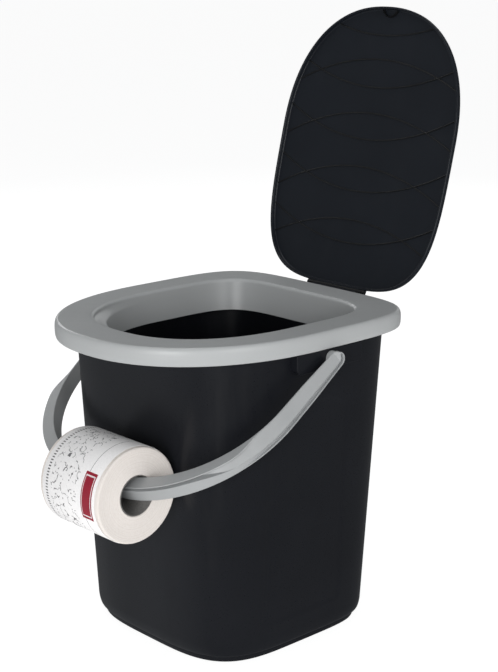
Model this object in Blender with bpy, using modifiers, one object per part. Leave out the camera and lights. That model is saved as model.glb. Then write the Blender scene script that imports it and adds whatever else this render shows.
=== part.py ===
"""Portable camp toilet, in metres, +Z up, front towards -Y, origin under the bucket's middle.

A plastic bucket carries a lift-off seat with a funnel-shaped opening. A shallow lid turns on a
hinge behind the seat. A channel-shaped bail handle hangs down at the front and holds a toilet
roll, whose card core hangs on the straight grip and whose side lies against the bucket.
"""

import math

import bmesh
import bpy
from mathutils import Matrix

# Clearances
GAP = 0.0003
PIVOT_PLAY = 0.0002
FIT_PLAY = 0.0008
EAR_GAP = 0.0005

# Bucket: half sizes in plan, heights from the floor
FOOT_HALF_WIDTH = 0.1253
FOOT_HALF_DEPTH = 0.1180
FOOT_HEIGHT = 0.008
BASE_HALF_WIDTH = 0.1320
BASE_HALF_DEPTH = 0.1250
BASE_HEIGHT = 0.016
TOP_HALF_WIDTH = 0.1481
TOP_HALF_DEPTH = 0.1409
BUCKET_WALL = 0.0025
BUCKET_FLOOR = 0.003
FOOT_EDGE = 0.001
FLOOR_BEND = 0.004
RIM_OVERHANG = 0.0005
RIM_HEIGHT = 0.004
RIM_EDGE = 0.001
RIM_STEP = 0.0005
RIM_ABOVE_SEAT_EDGE = 0.002
FRONT_CORNER_POWER = 3.7
BACK_CORNER_POWER = 5.4

# Seat
SEAT_TOP = 0.370
SEAT_HALF_WIDTH = 0.1592
SEAT_FRONT = 0.1975
SEAT_BACK = 0.1679
SEAT_CENTRE_Y = -0.0012
SEAT_FRONT_POWER = 2.2
SEAT_BACK_POWER = 5.1
SEAT_EDGE = 0.020
SEAT_BULGE = 0.0050
SEAT_UNDERCUT = 0.0020
SEAT_WALL = 0.0025
OPENING_HALF_WIDTH = 0.1175
OPENING_FRONT = 0.1498
OPENING_BACK = 0.1242
OPENING_FRONT_POWER = 2.4
OPENING_BACK_POWER = 5.0
LIP_RADIUS = 0.003
FUNNEL_DEPTH = 0.037
FUNNEL_DRAFT = 0.005
FUNNEL_FRONT_SLOPE = 0.024
SHOULDER_START = 0.006
SHOULDER_END = 0.014
REST_RIB_DEPTH = 0.009
SHOULDER_START_SLOPE = 0.25
SHOULDER_END_SLOPE = 0.8

# Lid, described closed on the seat
LID_HALF_WIDTH = 0.1386
LID_FRONT = 0.1555
LID_BACK = 0.1834
LID_FRONT_POWER = 2.27
LID_BACK_POWER = 3.9
LID_HEIGHT = 0.008
LID_WALL = 0.0025
LID_EDGE_RADIUS = 0.004
LID_INNER_EDGE = 0.001
LID_BACK_MARGIN = 0.0021
LID_OPEN_ANGLE = math.radians(104)

# Hinge behind the seat
KNUCKLE_RADIUS = 0.0045
HINGE_PIN_RADIUS = 0.0018
HINGE_HALF_LENGTH = 0.050
END_KNUCKLE = 0.014
HINGE_STANDOFF = 0.0058
HINGE_DROP = 0.008
BRACKET_PLATE = 0.0025
BRACKET_HOOK = 0.006
LUG_THICKNESS = 0.005
LUG_STEP = 0.001

# Handle: the bail lies in its own plane, which turns about the two pivots
PIVOT_Y = 0.0120
PIVOT_DROP = 0.0300
BAND_HALF_WIDTH = 0.010
END_HALF_WIDTH = 0.0084
END_TAPER = 0.050
ARM_SIDE_GAP = 0.0057
WEB = 0.003
FLANGE = 0.0025
ARM_DEPTH = 0.0062
GRIP_DEPTH = 0.0156
CORNER_RADIUS = 0.138
GRIP_FILL_HALF_LENGTH = 0.148
GRIP_SLOT = 0.004
HANDLE_ANGLE = math.radians(33)
PEG_RADIUS = 0.005
PEG_LENGTH = 0.007
EAR_HALF_WIDTH = 0.050
EAR_HEIGHT = 0.0215
EAR_EDGE = 0.008
EAR_SETBACK = 0.0015
COLLAR_RADIUS = 0.0078

# Toilet roll on the grip
ROLL_RADIUS = 0.0525
ROLL_LENGTH = 0.100
ROLL_OFFSET_X = 0.0230
CORE_RADIUS = 0.0212
CORE_WALL = 0.0010
WRAPPER_WALL = 0.0004
WRAPPER_SETBACK = 0.005
CORE_PLAY = 0.0004
ROLL_WALL_GAP = 0.0010

# Smoothness
OUTLINE_POINTS = 64
ARC_POINTS = 14
ROUND_STEPS = 48
SMALL_ROUND_STEPS = 32
SMOOTH_ANGLE = math.radians(35)
CUT_PAST = 0.01
WELD = 0.000001
EDGE_STEPS = 4

# Derived places
SEAT_BOTTOM = SEAT_TOP - SEAT_EDGE
RIM_TOP = SEAT_BOTTOM + RIM_ABOVE_SEAT_EDGE
SEAT_BACK_Y = SEAT_CENTRE_Y + SEAT_BACK
HINGE_Y = SEAT_BACK_Y + HINGE_STANDOFF
HINGE_Z = SEAT_TOP - HINGE_DROP
PIVOT_Z = SEAT_TOP - PIVOT_DROP
ARM_INNER_X = SEAT_HALF_WIDTH + ARM_SIDE_GAP
EAR_FACE_X = SEAT_HALF_WIDTH - EAR_SETBACK
CORNER_CENTRE_X = ARM_INNER_X - CORNER_RADIUS


def clear_scene():
    for old in list(bpy.data.objects):
        bpy.data.objects.remove(old, do_unlink=True)


def new_collection(name):
    collection = bpy.data.collections.new(name)
    bpy.context.scene.collection.children.link(collection)
    return collection


def plastic(name, colour, roughness, metallic=0.0):
    material = bpy.data.materials.new(name)
    material.use_nodes = True
    shader = material.node_tree.nodes["Principled BSDF"]
    shader.inputs["Base Color"].default_value = (*colour, 1.0)
    shader.inputs["Roughness"].default_value = roughness
    shader.inputs["Metallic"].default_value = metallic
    return material


def signed_power(value, power):
    return math.copysign(abs(value) ** power, value)


def ring(half_width, front, back, front_power, back_power, centre_y, z):
    """One closed outline in plan: a superellipse whose front and back halves differ."""
    points = []
    for step in range(OUTLINE_POINTS):
        turn = 2 * math.pi * (step + 0.5) / OUTLINE_POINTS
        is_back = math.sin(turn) > 0
        power = back_power if is_back else front_power
        reach = back if is_back else front
        x = half_width * signed_power(math.cos(turn), 2 / power)
        y = reach * signed_power(math.sin(turn), 2 / power)
        points.append((x, centre_y + y, z))
    return points


def bucket_share(z):
    """How far up the tapering wall a height lies, 0 at the base and 1 at the seat's lower edge."""
    return (z - BASE_HEIGHT) / (SEAT_BOTTOM - BASE_HEIGHT)


def bucket_half_width(z):
    return BASE_HALF_WIDTH + (TOP_HALF_WIDTH - BASE_HALF_WIDTH) * bucket_share(z)


def bucket_half_depth(z):
    return BASE_HALF_DEPTH + (TOP_HALF_DEPTH - BASE_HALF_DEPTH) * bucket_share(z)


def bucket_ring(half_width, half_depth, z):
    return ring(half_width, half_depth, half_depth, FRONT_CORNER_POWER, BACK_CORNER_POWER, 0, z)


def wall_ring(inset, z, size_at=None):
    """The bucket wall's outline at a height, moved inwards by an inset."""
    level = z if size_at is None else size_at
    return bucket_ring(bucket_half_width(level) - inset, bucket_half_depth(level) - inset, z)


def seat_ring(inset, z):
    return ring(SEAT_HALF_WIDTH - inset, SEAT_FRONT - inset, SEAT_BACK - inset,
                SEAT_FRONT_POWER, SEAT_BACK_POWER, SEAT_CENTRE_Y, z)


def opening_ring(outset, z, front_slope=0.0):
    """The opening's outline; lower down, its front slopes back over the bucket's rim."""
    return ring(OPENING_HALF_WIDTH + outset, OPENING_FRONT + outset - front_slope,
                OPENING_BACK + outset, OPENING_FRONT_POWER, OPENING_BACK_POWER, SEAT_CENTRE_Y, z)


def funnel_rings(outset, drop=0.0):
    """The funnel's outlines downwards from the lip, moved outwards and down for its outside."""
    return [
        opening_ring(outset, SEAT_TOP - SHOULDER_START - drop,
                     FUNNEL_FRONT_SLOPE * SHOULDER_START_SLOPE),
        opening_ring(outset - FUNNEL_DRAFT * 0.2, SEAT_TOP - SHOULDER_END - drop,
                     FUNNEL_FRONT_SLOPE * SHOULDER_END_SLOPE),
        opening_ring(outset - FUNNEL_DRAFT, SEAT_TOP - FUNNEL_DEPTH,
                     FUNNEL_FRONT_SLOPE - FUNNEL_DRAFT),
    ]


def lid_ring(inset, z):
    """A lid outline from the hinge axis: y backwards, z upwards, with the lid closed."""
    centre_y = SEAT_BACK_Y - LID_BACK_MARGIN - LID_BACK - HINGE_Y
    return ring(LID_HALF_WIDTH - inset, LID_FRONT - inset, LID_BACK - inset,
                LID_FRONT_POWER, LID_BACK_POWER, centre_y, z)


def add_object(name, mesh, collection, material=None):
    item = bpy.data.objects.new(name, mesh)
    collection.objects.link(item)
    if material:
        mesh.materials.append(material)
    return item


def loft(name, rings, closed=False):
    """A mesh through a row of outlines, capped at both ends or joined into a closed loop."""
    bm = bmesh.new()
    loops = [[bm.verts.new(point) for point in outline] for outline in rings]
    pairs = list(zip(loops, loops[1:]))
    if closed:
        pairs.append((loops[-1], loops[0]))
    for lower, upper in pairs:
        for index in range(OUTLINE_POINTS):
            after = (index + 1) % OUTLINE_POINTS
            bm.faces.new((lower[index], lower[after], upper[after], upper[index]))
    if not closed:
        bm.faces.new(list(reversed(loops[0])))
        bm.faces.new(loops[-1])
    bmesh.ops.recalc_face_normals(bm, faces=bm.faces)
    mesh = bpy.data.meshes.new(name)
    bm.to_mesh(mesh)
    bm.free()
    return mesh


def plate(name, points, half_thickness):
    """A flat outline in its XY plane, extruded both ways along Z, as a mesh."""
    curve = bpy.data.curves.new(name, "CURVE")
    curve.dimensions = "2D"
    curve.fill_mode = "BOTH"
    curve.extrude = half_thickness
    spline = curve.splines.new("POLY")
    spline.points.add(len(points) - 1)
    for point, (x, y) in zip(spline.points, points):
        point.co = (x, y, 0, 1)
    spline.use_cyclic_u = True
    outline = bpy.data.objects.new(name + "_outline", curve)
    bpy.context.scene.collection.objects.link(outline)
    evaluated = outline.evaluated_get(bpy.context.evaluated_depsgraph_get())
    mesh = bpy.data.meshes.new_from_object(evaluated)
    bpy.data.objects.remove(outline, do_unlink=True)
    bpy.data.curves.remove(curve)
    bm = bmesh.new()
    bm.from_mesh(mesh)
    bmesh.ops.remove_doubles(bm, verts=bm.verts, dist=WELD)
    bmesh.ops.recalc_face_normals(bm, faces=bm.faces)
    bm.to_mesh(mesh)
    bm.free()
    return mesh


def side_plate(name, points, half_thickness):
    """A flat outline in the YZ plane, extruded both ways along X."""
    mesh = plate(name, points, half_thickness)
    mesh.transform(Matrix(((0, 0, 1, 0), (1, 0, 0, 0), (0, 1, 0, 0), (0, 0, 0, 1))))
    return mesh


def small_rod(name, radius, start_x, end_x, y=0.0, z=0.0):
    """A cylinder along X between two places."""
    bm = bmesh.new()
    bmesh.ops.create_cone(bm, cap_ends=True, segments=SMALL_ROUND_STEPS, radius1=radius,
                          radius2=radius, depth=end_x - start_x)
    turn = Matrix.Rotation(math.pi / 2, 4, "Y")
    bmesh.ops.transform(bm, matrix=Matrix.Translation(((start_x + end_x) / 2, y, z)) @ turn,
                        verts=bm.verts)
    mesh = bpy.data.meshes.new(name)
    bm.to_mesh(mesh)
    bm.free()
    return mesh


def block(name, low, high):
    """A box between two corners."""
    bm = bmesh.new()
    bmesh.ops.create_cube(bm, size=1.0)
    size = [b - a for a, b in zip(low, high)]
    middle = [(a + b) / 2 for a, b in zip(low, high)]
    bmesh.ops.transform(bm, matrix=Matrix.Translation(middle) @ Matrix.Diagonal((*size, 1)),
                        verts=bm.verts)
    mesh = bpy.data.meshes.new(name)
    bm.to_mesh(mesh)
    bm.free()
    return mesh


def combine(target, mesh, operation):
    """Join, cut or trim an object with a helper shape that shares its axes and origin."""
    tool = add_object(mesh.name, mesh, cutters)
    tool.hide_render = True
    tool.display_type = "WIRE"
    tool.parent = target.parent
    tool.location = target.location
    tool.rotation_euler = target.rotation_euler
    modifier = target.modifiers.new(mesh.name, "BOOLEAN")
    modifier.object = tool
    modifier.operation = operation
    modifier.solver = "EXACT"


def finished_mesh(helper, name):
    """A helper object's shape with its modifiers applied; the helper and its tools go."""
    evaluated = helper.evaluated_get(bpy.context.evaluated_depsgraph_get())
    mesh = bpy.data.meshes.new_from_object(evaluated)
    mesh.name = name
    for modifier in list(helper.modifiers):
        bpy.data.objects.remove(modifier.object, do_unlink=True)
    bpy.data.objects.remove(helper, do_unlink=True)
    return mesh


def turned_tube(name, outer, inner, half_length, material):
    """A tube turned about its own Z axis from a closed profile."""
    mesh = bpy.data.meshes.new(name)
    profile = [(outer, half_length), (outer, -half_length), (inner, -half_length),
               (inner, half_length)]
    edges = [(0, 1), (1, 2), (2, 3), (3, 0)]
    mesh.from_pydata([(x, 0, z) for x, z in profile], edges, [])
    item = add_object(name, mesh, parts, material)
    screw = item.modifiers.new("turn", "SCREW")
    screw.steps = ROUND_STEPS
    screw.render_steps = ROUND_STEPS
    screw.use_merge_vertices = True
    screw.merge_threshold = WELD
    screw.use_smooth_shade = False
    return item


def smooth(mesh):
    mesh.shade_smooth()
    mesh.set_sharp_from_angle(angle=SMOOTH_ANGLE)


def arc(centre_x, centre_y, radius, start, end, points=ARC_POINTS):
    """Points along an arc between two angles in degrees."""
    result = []
    for step in range(points + 1):
        turn = math.radians(start + (end - start) * step / points)
        result.append((centre_x + radius * math.cos(turn), centre_y + radius * math.sin(turn)))
    return result


def make_bucket():
    """A tapering shell on a set-in foot, with a rim under the seat and two handle ears."""
    step_in = BASE_HALF_WIDTH - FOOT_HALF_WIDTH
    rings = [
        bucket_ring(FOOT_HALF_WIDTH - FOOT_EDGE, FOOT_HALF_DEPTH - FOOT_EDGE, 0),
        bucket_ring(FOOT_HALF_WIDTH, FOOT_HALF_DEPTH, FOOT_EDGE),
        bucket_ring(FOOT_HALF_WIDTH, FOOT_HALF_DEPTH, FOOT_HEIGHT),
        wall_ring(step_in / 2, FOOT_HEIGHT + FOOT_EDGE / 2, BASE_HEIGHT),
        wall_ring(step_in / 6, (FOOT_HEIGHT + BASE_HEIGHT) / 2, BASE_HEIGHT),
        wall_ring(0, BASE_HEIGHT),
        wall_ring(0, RIM_TOP - RIM_HEIGHT),
        wall_ring(-RIM_OVERHANG, RIM_TOP - RIM_HEIGHT + RIM_STEP),
        wall_ring(-RIM_OVERHANG, RIM_TOP - RIM_EDGE),
        wall_ring(-RIM_OVERHANG + RIM_EDGE, RIM_TOP),
        wall_ring(BUCKET_WALL, RIM_TOP),
        wall_ring(BUCKET_WALL, BASE_HEIGHT + FLOOR_BEND),
        wall_ring(BUCKET_WALL + step_in / 3, (FOOT_HEIGHT + BASE_HEIGHT) / 2, BASE_HEIGHT),
        bucket_ring(FOOT_HALF_WIDTH - BUCKET_WALL, FOOT_HALF_DEPTH - BUCKET_WALL, BUCKET_FLOOR),
    ]
    bucket = add_object("bucket", loft("bucket", rings), parts, anthracite)
    for side in (-1, 1):
        combine(bucket, ear_mesh(side), "UNION")
    for side in (-1, 1):
        blind_end = EAR_FACE_X - PEG_LENGTH - GAP
        ends = sorted((side * blind_end, side * (EAR_FACE_X + CUT_PAST)))
        hole = small_rod("ear_hole", PEG_RADIUS + PIVOT_PLAY, *ends, y=PIVOT_Y, z=PIVOT_Z)
        combine(bucket, hole, "DIFFERENCE")
    smooth(bucket.data)
    bucket.parent = toilet
    return bucket


def ear_mesh(side):
    """The block on one side wall that holds a handle peg, rounded at its lower corners."""
    top = SEAT_BOTTOM - EAR_GAP
    bottom = top - EAR_HEIGHT
    low_y = PIVOT_Y - EAR_HALF_WIDTH
    high_y = PIVOT_Y + EAR_HALF_WIDTH
    points = [(high_y, top), (low_y, top)]
    points += arc(low_y + EAR_EDGE, bottom + EAR_EDGE, EAR_EDGE, 180, 270, 5)
    points += arc(high_y - EAR_EDGE, bottom + EAR_EDGE, EAR_EDGE, 270, 360, 5)
    root_x = bucket_half_width(bottom) - BUCKET_WALL / 2
    mesh = side_plate("ear", points, (EAR_FACE_X - root_x) / 2)
    mesh.transform(Matrix.Translation((side * (EAR_FACE_X + root_x) / 2, 0, 0)))
    return mesh


def make_seat():
    """A thin ring with a bulged edge and a funnel, resting on the bucket by a rib below."""
    middle = SEAT_TOP - SEAT_EDGE / 2
    edge = []
    for step in range(-EDGE_STEPS, EDGE_STEPS + 1):
        turn = math.pi / 2 * step / EDGE_STEPS
        inset = (SEAT_BULGE if turn > 0 else SEAT_UNDERCUT) * (1 - math.cos(turn))
        edge.append((inset, middle + SEAT_EDGE / 2 * math.sin(turn)))
    under = SEAT_TOP - SEAT_WALL
    rings = [seat_ring(inset, z) for inset, z in edge]
    rings += [
        opening_ring(LIP_RADIUS, SEAT_TOP),
        opening_ring(LIP_RADIUS * 0.3, SEAT_TOP - LIP_RADIUS * 0.3),
        opening_ring(0, SEAT_TOP - LIP_RADIUS),
    ]
    rings += funnel_rings(0)
    rings += list(reversed(funnel_rings(SEAT_WALL, SEAT_WALL / 2)))
    rings.append(opening_ring(SEAT_WALL + LIP_RADIUS, under))
    rings.append(seat_ring(SEAT_BULGE + SEAT_WALL * 1.4, under))
    inner_edge = [(inset, z) for inset, z in reversed(edge) if SEAT_BOTTOM < z < under - GAP]
    rings += [seat_ring(inset + SEAT_WALL, z) for inset, z in inner_edge]
    rings.append(seat_ring(SEAT_UNDERCUT + SEAT_WALL, SEAT_BOTTOM))
    seat = add_object("seat", loft("seat", rings, closed=True), parts, light_grey)
    seat.parent = toilet
    combine(seat, rest_rib_mesh(), "UNION")
    smooth(seat.data)
    return seat


def rest_rib_mesh():
    """The rib under the seat: it rests on the bucket's rim and reaches down inside it."""
    outer = -RIM_OVERHANG
    lip_outer = BUCKET_WALL + FIT_PLAY
    inner = lip_outer + SEAT_WALL
    rest = RIM_TOP + GAP
    top = SEAT_TOP - SEAT_WALL / 2
    bottom = rest - REST_RIB_DEPTH
    profile = [(outer, rest), (outer, top), (inner, top), (inner, bottom), (lip_outer, bottom),
               (lip_outer, rest)]
    rib = add_object("rest_rib_solid",
                     loft("rest_rib_solid", [wall_ring(inset, z, RIM_TOP) for inset, z in profile],
                          closed=True), cutters)
    half_wall = SEAT_WALL / 2
    space = [opening_ring(half_wall, SEAT_TOP + CUT_PAST)]
    space.append(opening_ring(half_wall, SEAT_TOP - LIP_RADIUS))
    space += funnel_rings(half_wall, half_wall / 2)
    combine(rib, loft("funnel_space", list(reversed(space))), "DIFFERENCE")
    return finished_mesh(rib, "rest_rib")


def make_lid():
    """A shallow lid with a turned-down lip and a lug that carries the middle knuckle."""
    hinge_to_seat = SEAT_TOP - HINGE_Z
    lip = hinge_to_seat + GAP
    top = lip + LID_HEIGHT
    rings = [
        lid_ring(LID_WALL + LID_INNER_EDGE, top - LID_WALL),
        lid_ring(LID_WALL, top - LID_WALL - LID_INNER_EDGE),
        lid_ring(LID_WALL, lip),
        lid_ring(0, lip),
        lid_ring(0, top - LID_EDGE_RADIUS),
        lid_ring(LID_EDGE_RADIUS * 0.3, top - LID_EDGE_RADIUS * 0.3),
        lid_ring(LID_EDGE_RADIUS, top),
    ]
    lid = add_object("lid", loft("lid", rings), parts, black)
    lid.parent = lid_hinge
    half_lug = HINGE_HALF_LENGTH - END_KNUCKLE - GAP
    edge_y = SEAT_BACK_Y - LID_BACK_MARGIN - HINGE_Y
    root_y = edge_y - LID_WALL / 2
    lug = [
        (root_y, top - LID_WALL / 5),
        (root_y, lip),
        (edge_y + LUG_STEP, lip),
        (GAP * 2 - HINGE_STANDOFF, hinge_to_seat - SEAT_BULGE / 2),
        (-KNUCKLE_RADIUS * 0.95, KNUCKLE_RADIUS * 0.2),
        (0, 0),
        (KNUCKLE_RADIUS * 0.95, KNUCKLE_RADIUS * 0.2),
        (edge_y + LUG_THICKNESS * 2, hinge_to_seat - GAP),
        (edge_y + LUG_THICKNESS, top - LID_EDGE_RADIUS / 3),
    ]
    combine(lid, side_plate("lid_lug", lug, half_lug), "UNION")
    combine(lid, small_rod("lid_knuckle", KNUCKLE_RADIUS, -half_lug, half_lug), "UNION")
    bore = HINGE_PIN_RADIUS + PIVOT_PLAY
    combine(lid, small_rod("lid_bore", bore, -HINGE_HALF_LENGTH, HINGE_HALF_LENGTH), "DIFFERENCE")
    smooth(lid.data)
    return lid


def make_hinge_bracket():
    """The fixed half of the hinge: a plate clipped on the seat's back edge, and two knuckles."""
    front = -HINGE_STANDOFF + GAP
    plate_back = front + BRACKET_PLATE
    plate_top = -KNUCKLE_RADIUS - GAP
    seat_under = SEAT_BOTTOM - HINGE_Z - GAP
    bracket = add_object(
        "hinge_bracket",
        block("hinge_bracket", (-HINGE_HALF_LENGTH, front, seat_under - BRACKET_PLATE),
              (HINGE_HALF_LENGTH, plate_back, plate_top)),
        parts, bracket_black)
    bracket.parent = toilet
    bracket.location = (0, HINGE_Y, HINGE_Z)
    hook_front = front - SEAT_UNDERCUT - BRACKET_HOOK
    hook = block("bracket_hook", (-HINGE_HALF_LENGTH, hook_front, seat_under - BRACKET_PLATE),
                 (HINGE_HALF_LENGTH, front + BRACKET_PLATE / 2, seat_under))
    combine(bracket, hook, "UNION")
    for side in (-1, 1):
        ends = sorted((side * HINGE_HALF_LENGTH, side * (HINGE_HALF_LENGTH - END_KNUCKLE)))
        knuckle = small_rod("end_knuckle", KNUCKLE_RADIUS, *ends)
        neck = block("knuckle_neck", (ends[0], front, plate_top - BRACKET_PLATE),
                     (ends[1], KNUCKLE_RADIUS * 0.8, 0))
        combine(bracket, neck, "UNION")
        combine(bracket, knuckle, "UNION")
    bore = HINGE_PIN_RADIUS + PIVOT_PLAY
    past = HINGE_HALF_LENGTH + CUT_PAST
    combine(bracket, small_rod("bracket_bore", bore, -past, past), "DIFFERENCE")
    smooth(bracket.data)
    return bracket


def make_hinge_pin():
    length = HINGE_HALF_LENGTH - GAP
    pin = add_object("hinge_pin", small_rod("hinge_pin", HINGE_PIN_RADIUS, -length, length),
                     parts, pin_steel)
    pin.parent = toilet
    pin.location = (0, HINGE_Y, HINGE_Z)
    smooth(pin.data)
    return pin


def roll_distance():
    """Distance from the pivots to the roll's axis, with the roll just clear of the front wall."""
    slope = (TOP_HALF_DEPTH - BASE_HALF_DEPTH) / (SEAT_BOTTOM - BASE_HEIGHT)
    clear = ROLL_RADIUS + GAP + WRAPPER_WALL + ROLL_WALL_GAP
    across = PIVOT_Y + bucket_half_depth(PIVOT_Z) + clear
    return across / (math.cos(HANDLE_ANGLE) + slope * math.sin(HANDLE_ANGLE))


def grip_reach():
    """Distance from the pivots to the grip's inner face, which fits inside the roll's core."""
    inset = math.sqrt((CORE_RADIUS - CORE_PLAY) ** 2 - BAND_HALF_WIDTH ** 2)
    roll_end = ROLL_OFFSET_X + ROLL_LENGTH / 2 - CORNER_CENTRE_X
    drop = CORNER_RADIUS - math.sqrt(CORNER_RADIUS ** 2 - max(roll_end, 0) ** 2)
    return roll_distance() - inset + drop


def channel_depth(y, reach):
    """The channel's depth, which grows from the pivots to the grip."""
    share = min(max(-y / reach, 0), 1)
    return ARM_DEPTH + (GRIP_DEPTH - ARM_DEPTH) * share


def corner_line(inset, reach, first, last):
    """The bail's corner, moved outwards by an inset, between two angles in degrees."""
    corner_y = CORNER_RADIUS - reach
    return arc(CORNER_CENTRE_X, corner_y, CORNER_RADIUS + inset, first, last)


def bail_outer_side(end_y, reach):
    """One side of the bail's outer line, from a pivot end round to the grip."""
    line = []
    for x, y in [(ARM_INNER_X, end_y), (ARM_INNER_X, 0)] + corner_line(0, reach, 0, -90):
        turn = math.atan2(min(y - CORNER_RADIUS + reach, 0), max(x - CORNER_CENTRE_X, 0))
        depth = channel_depth(y, reach)
        line.append((x + depth * math.cos(turn), y + depth * math.sin(turn)))
    return line


def mirrored(line):
    return [(-x, y) for x, y in reversed(line)]


def side_outline(inset, reach):
    """The bail seen from its side: rounded round the pivot, widening a little, then straight."""
    far = -(reach + GRIP_DEPTH + CUT_PAST)
    half_width = BAND_HALF_WIDTH - inset
    below = [(far, half_width), (far, -half_width), (-END_TAPER, -half_width)]
    return below + arc(0, 0, END_HALF_WIDTH - inset, -90, 90) + [(-END_TAPER, half_width)]


def make_handle():
    """A channel that opens outwards, with a filled-in grip and a peg at each pivot."""
    reach = grip_reach()
    end_y = BAND_HALF_WIDTH + CUT_PAST
    inner = [(ARM_INNER_X, end_y)] + corner_line(0, reach, 0, -90)
    outer = bail_outer_side(end_y, reach)
    outline = inner + mirrored(inner)[1:] + list(reversed(mirrored(outer))) + outer[::-1][1:]
    handle = add_object("handle", plate("handle", outline, BAND_HALF_WIDTH), parts, handle_grey)
    handle.parent = handle_pivot
    width = ARM_INNER_X + GRIP_DEPTH + CUT_PAST
    round_ends = side_plate("handle_ends", side_outline(0, reach), width)
    combine(handle, round_ends, "INTERSECT")
    for side in (-1, 1):
        combine(handle, arm_pocket(side, reach), "DIFFERENCE")
    combine(handle, grip_slot_mesh(reach), "DIFFERENCE")
    for side in (-1, 1):
        inside_web = side * (ARM_INNER_X + WEB / 2)
        collar_ends = sorted((inside_web, side * (EAR_FACE_X + GAP)))
        combine(handle, small_rod("collar", COLLAR_RADIUS, *collar_ends), "UNION")
        peg_ends = sorted((inside_web, side * (EAR_FACE_X - PEG_LENGTH)))
        combine(handle, small_rod("peg", PEG_RADIUS, *peg_ends), "UNION")
    smooth(handle.data)
    return handle


def corner_angle(x, inset):
    """The angle at which the bail's corner, moved outwards by an inset, reaches a place."""
    return -math.degrees(math.acos((x - CORNER_CENTRE_X) / (CORNER_RADIUS + inset)))


def arm_pocket(side, reach):
    """The channel's hollow along one arm, rounded at the pivot and stopping at the grip."""
    half_width = BAND_HALF_WIDTH - FLANGE
    past = GRIP_DEPTH + CUT_PAST
    points = []
    for inset in (WEB, past):
        stop = corner_angle(GRIP_FILL_HALF_LENGTH, inset)
        line = [(ARM_INNER_X + inset, half_width)] + corner_line(inset, reach, 0, stop)
        points += line if inset == WEB else line[::-1]
    points = [(side * x, y) for x, y in points]
    pocket = add_object("arm_pocket_solid", plate("arm_pocket_solid", points, half_width), cutters)
    trim = side_plate("pocket_trim", side_outline(FLANGE, reach), ARM_INNER_X + past + CUT_PAST)
    combine(pocket, trim, "INTERSECT")
    return finished_mesh(pocket, "arm_pocket")


def grip_slot_mesh(reach):
    """The narrow slot that leaves the grip's upper flange free along its front."""
    points = []
    for inset in (WEB, GRIP_DEPTH + CUT_PAST):
        start = corner_angle(GRIP_FILL_HALF_LENGTH + GAP, inset)
        line = corner_line(inset, reach, start, -90)
        line += mirrored(line)[1:]
        points += line if inset == WEB else line[::-1]
    slot = plate("grip_slot", points, GRIP_SLOT / 2)
    slot.transform(Matrix.Translation((0, 0, BAND_HALF_WIDTH - FLANGE - GRIP_SLOT / 2)))
    return slot


def make_roll():
    """The toilet roll: wound paper on a card core, with a printed sleeve round it."""
    distance = roll_distance()
    centre_y = PIVOT_Y - distance * math.cos(HANDLE_ANGLE)
    centre_z = PIVOT_Z - distance * math.sin(HANDLE_ANGLE)
    roll_axis.location = (ROLL_OFFSET_X, centre_y, centre_z)
    roll_axis.rotation_euler = (0, math.pi / 2, 0)
    core_outer = CORE_RADIUS + CORE_WALL
    half = ROLL_LENGTH / 2
    pieces = [
        turned_tube("paper_roll", ROLL_RADIUS, core_outer + GAP, half, paper_white),
        turned_tube("roll_core", core_outer, CORE_RADIUS, half, card),
        turned_tube("roll_wrapper", ROLL_RADIUS + GAP + WRAPPER_WALL, ROLL_RADIUS + GAP,
                    half - WRAPPER_SETBACK, sleeve_paper),
    ]
    for piece in pieces:
        piece.parent = roll_axis
    return pieces


clear_scene()
parts = new_collection("camp_toilet")
cutters = new_collection("cutters")

anthracite = plastic("anthracite_plastic", (0.020, 0.021, 0.026), 0.32)
black = plastic("lid_plastic", (0.014, 0.017, 0.021), 0.38)
light_grey = plastic("seat_plastic", (0.42, 0.43, 0.44), 0.40)
handle_grey = plastic("handle_plastic", (0.36, 0.37, 0.38), 0.42)
bracket_black = plastic("bracket_plastic", (0.012, 0.012, 0.014), 0.40)
pin_steel = plastic("pin_steel", (0.45, 0.45, 0.46), 0.35, 1.0)
paper_white = plastic("tissue_paper", (0.80, 0.77, 0.73), 0.90)
sleeve_paper = plastic("sleeve_paper", (0.84, 0.83, 0.82), 0.70)
card = plastic("core_card", (0.47, 0.45, 0.41), 0.85)

toilet = bpy.data.objects.new("toilet", None)
lid_hinge = bpy.data.objects.new("lid_hinge", None)
handle_pivot = bpy.data.objects.new("handle_pivot", None)
roll_axis = bpy.data.objects.new("roll_axis", None)
for empty in (toilet, lid_hinge, handle_pivot, roll_axis):
    parts.objects.link(empty)
for empty in (lid_hinge, handle_pivot, roll_axis):
    empty.parent = toilet
lid_hinge.location = (0, HINGE_Y, HINGE_Z)
lid_hinge.rotation_euler = (-LID_OPEN_ANGLE, 0, 0)
handle_pivot.location = (0, PIVOT_Y, PIVOT_Z)
handle_pivot.rotation_euler = (HANDLE_ANGLE, 0, 0)

make_bucket()
make_seat()
make_lid()
make_hinge_bracket()
make_hinge_pin()
make_handle()
make_roll()
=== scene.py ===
"""Portable camp toilet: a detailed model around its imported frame, in metres, +Z up, front towards -Y."""

import math

import bmesh
import bpy
import numpy as np
from mathutils import Matrix, Vector


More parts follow.
